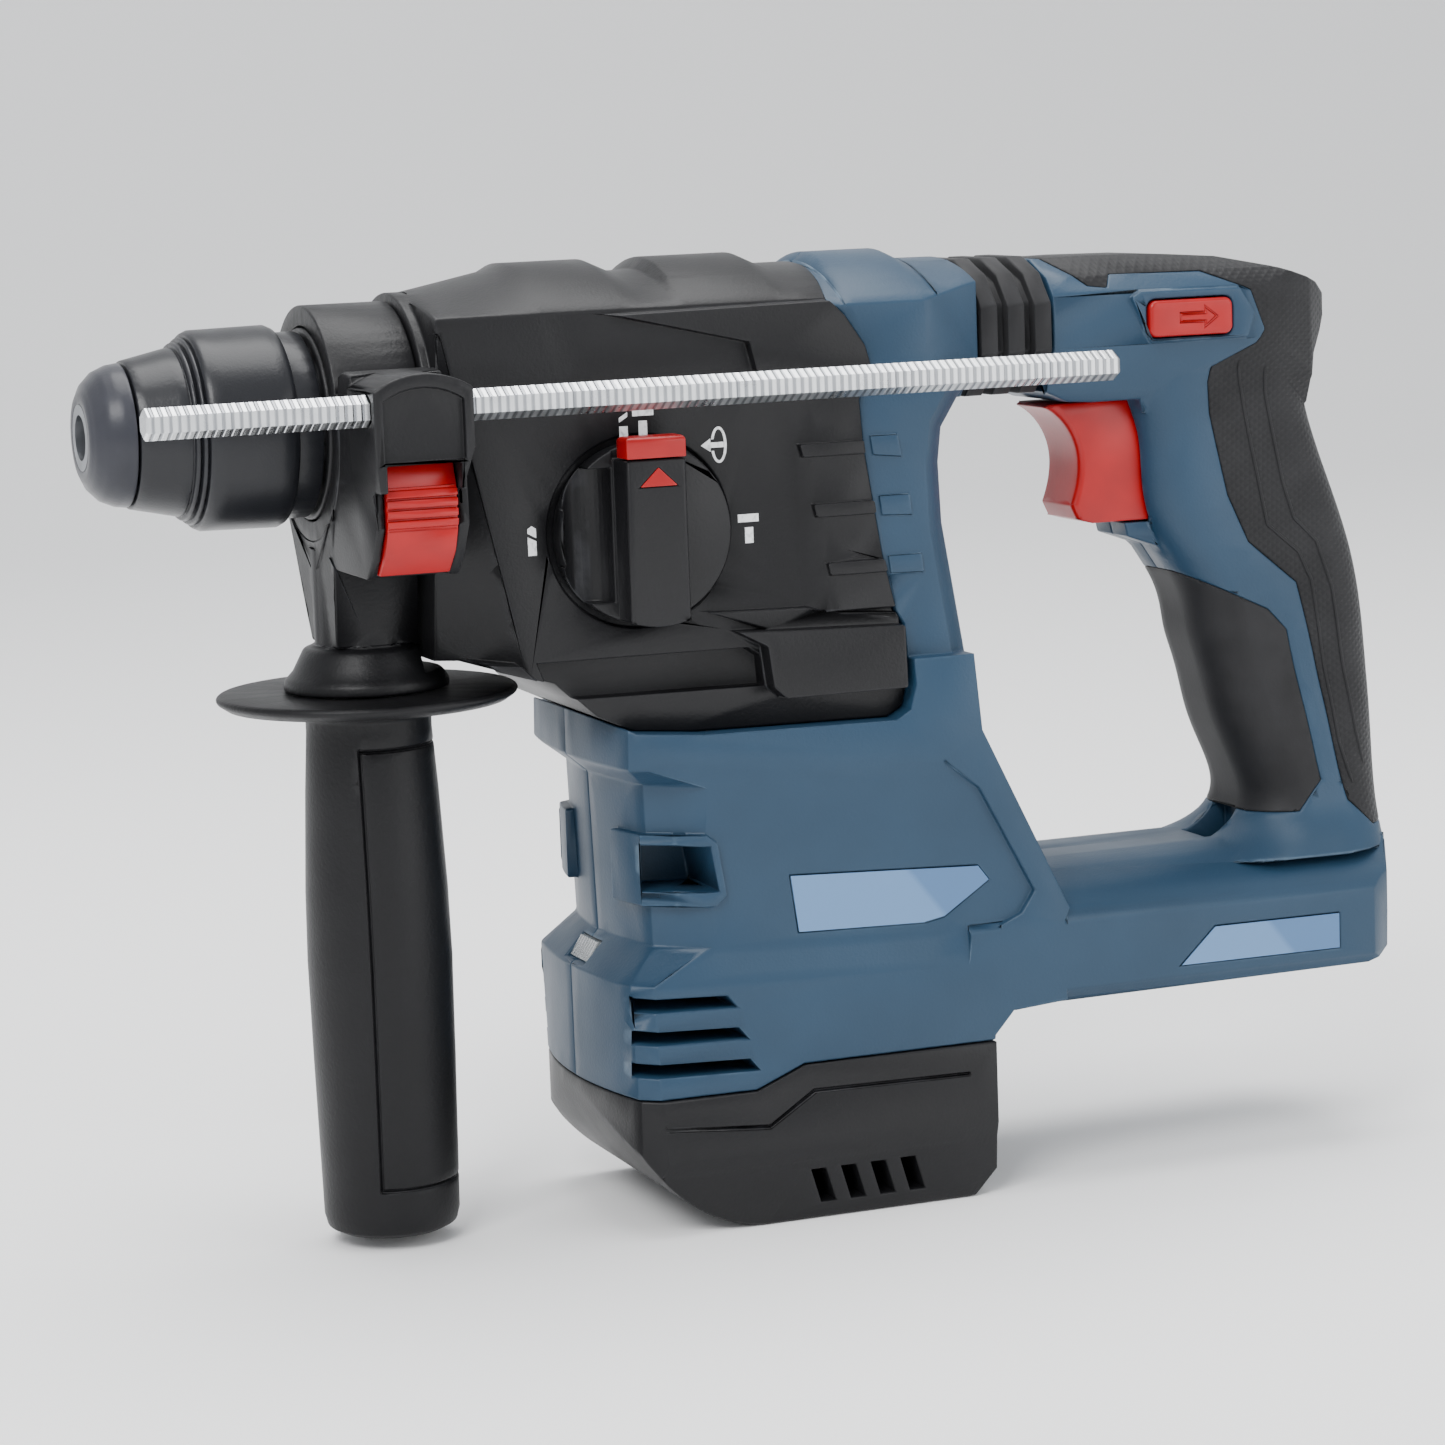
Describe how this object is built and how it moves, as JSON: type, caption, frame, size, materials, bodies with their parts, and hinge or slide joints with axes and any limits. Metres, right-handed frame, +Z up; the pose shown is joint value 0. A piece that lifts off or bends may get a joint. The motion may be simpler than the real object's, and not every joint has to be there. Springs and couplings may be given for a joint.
{
  "type": "rotary hammer",
  "caption": "Cordless rotary hammer with pull-back tool holder, mode knob, clamped side handle with depth rod, upright motor and rear D-handle.",
  "frame": {"origin": "mouth of the tool holder on the spindle axis", "axes": "the tool bit points to -X, the D-handle is at +X, +Z is up"},
  "size_m": [0.3178, 0.0913, 0.2223],
  "materials": {
    "blue_shell": "fine textured matte",
    "black_case": "fine grained matte",
    "soft_black": "matte soft skin",
    "dark_plastic": "satin",
    "red_plastic": "satin",
    "pale_blue_plate": "satin film",
    "white_print": "printed",
    "zinc_steel": "zinc plated",
    "steel": "ground",
    "bearing_steel": "polished",
    "copper": "enamelled wire",
    "laminations": "stacked sheet",
    "lens": "clear moulded",
    "board_green": "solder mask",
    "lead_black": "insulated wire"
  },
  "bodies": {
    "housing": {"housing_left": "blue_shell", "housing_right": "blue_shell", "gear_housing": "black_case", "bottom_bumper": "black_case", "bellows": "soft_black", "rear_grip_pad": "soft_black", "finger_grip_pad": "soft_black", "side_plates": "pale_blue_plate", "foot_plates": "pale_blue_plate", "work_light_lens": "lens", "work_light_board": "board_green", "housing_screws": "steel", "gear_housing_screws": "steel", "motor_stator": "laminations", "motor_windings": "copper", "motor_bearings": "bearing_steel", "front_spindle_bearing": "bearing_steel", "rear_spindle_bearing": "bearing_steel", "spindle_seal": "soft_black", "gear_bearings": "bearing_steel", "electronics_board": "board_green", "switch_module": "dark_plastic", "terminal_block": "dark_plastic", "power_leads": "lead_black", "mode_marks": "white_print", "trigger_spring": "steel"},
    "spindle": {"spindle": "steel", "spindle_gear": "steel", "locking_balls": "bearing_steel", "nose_cap": "soft_black", "sleeve_stop": "dark_plastic", "sleeve_spring": "steel"},
    "sleeve": {"locking_sleeve": "dark_plastic", "locking_ring": "steel"},
    "piston": {"piston": "steel", "piston_ring": "soft_black", "wrist_pin": "bearing_steel"},
    "rod": {"connecting_rod": "steel"},
    "striker": {"striker": "steel", "striker_ring": "soft_black"},
    "anvil": {"beat_piece": "steel"},
    "crank": {"crankshaft": "steel"},
    "idler": {"idler_shaft": "steel"},
    "motor": {"motor_rotor": "steel", "motor_pinion": "steel", "fan": "dark_plastic"},
    "trigger": {"trigger": "red_plastic"},
    "direction": {"direction_button": "red_plastic"},
    "selector": {"mode_knob": "black_case", "knob_arrow": "red_plastic"},
    "selector_catch": {"knob_lock_button": "red_plastic"},
    "side_handle": {"clamp_bracket": "black_case", "clamp_bolt": "steel"},
    "side_grip": {"handle_grip": "black_case", "grip_nut": "steel"},
    "stop_button": {"depth_stop_button": "red_plastic"},
    "depth_rod": {"depth_rod": "zinc_steel"}
  },
  "joints": [
    {"name": "spindle_spin", "type": "hinge", "parent": "housing", "child": "spindle", "pos_m": [0, 0, 0], "axis": [1, 0, 0], "continuous": true},
    {"name": "sleeve_pull", "type": "slide", "parent": "spindle", "child": "sleeve", "axis": [1, 0, 0], "range_m": [0, 0.0055], "stiffness_N_per_m": 1500, "springref_m": -0.004, "deforming": ["sleeve_spring"]},
    {"name": "piston_stroke", "type": "slide", "parent": "housing", "child": "piston", "axis": [1, 0, 0], "range_m": [-0.014, 0]},
    {"name": "rod_swing", "type": "hinge", "parent": "piston", "child": "rod", "pos_m": [0.1045, 0, 0], "axis": [0, 0, 1], "range_deg": [-12, 12]},
    {"name": "striker_stroke", "type": "slide", "parent": "housing", "child": "striker", "axis": [1, 0, 0], "range_m": [-0.004, 0.001]},
    {"name": "anvil_stroke", "type": "slide", "parent": "housing", "child": "anvil", "axis": [1, 0, 0], "range_m": [-0.0012, 0.001]},
    {"name": "motor_spin", "type": "hinge", "parent": "housing", "child": "motor", "pos_m": [0.155, 0, 0], "axis": [0, 0, 1], "continuous": true},
    {"name": "crank_spin", "type": "hinge", "parent": "housing", "child": "crank", "pos_m": [0.13, 0, 0], "axis": [0, 0, 1], "continuous": true},
    {"name": "idler_spin", "type": "hinge", "parent": "housing", "child": "idler", "pos_m": [0.097, 0, 0], "axis": [0, 0, 1], "continuous": true},
    {"name": "trigger_pull", "type": "slide", "parent": "housing", "child": "trigger", "axis": [1, 0, 0], "range_m": [0, 0.006], "stiffness_N_per_m": 1200, "springref_m": -0.004, "deforming": ["trigger_spring"]},
    {"name": "direction_slide", "type": "slide", "parent": "housing", "child": "direction", "axis": [0, 1, 0], "range_m": [-0.0025, 0.0025]},
    {"name": "selector_turn", "type": "hinge", "parent": "housing", "child": "selector", "pos_m": [0.1188, -0.036, -0.0265], "axis": [0, 1, 0], "range_deg": [-90, 90]},
    {"name": "catch_press", "type": "slide", "parent": "selector", "child": "selector_catch", "axis": [0, 1, 0], "range_m": [0, 0.0015], "stiffness_N_per_m": 2000, "springref_m": -0.002},
    {"name": "side_handle_turn", "type": "hinge", "parent": "housing", "child": "side_handle", "pos_m": [0.0625, 0, 0], "axis": [1, 0, 0], "range_deg": [-4, 4]},
    {"name": "grip_turn", "type": "hinge", "parent": "side_handle", "child": "side_grip", "pos_m": [0.0625, 0, -0.1], "axis": [0, 0, 1], "range_deg": [-180, 180]},
    {"name": "stop_button_press", "type": "slide", "parent": "side_handle", "child": "stop_button", "axis": [0, 1, 0], "range_m": [0, 0.001], "stiffness_N_per_m": 3000, "springref_m": -0.002},
    {"name": "depth_rod_slide", "type": "slide", "parent": "side_handle", "child": "depth_rod", "axis": [1, 0, 0], "range_m": [-0.06, 0]}
  ],
  "couplings": [
    {"joint": "crank_spin", "follows": "motor_spin", "ratio": -0.19048},
    {"joint": "idler_spin", "follows": "motor_spin", "ratio": 0.33333},
    {"joint": "spindle_spin", "follows": "motor_spin", "ratio": -0.11667}
  ]
}
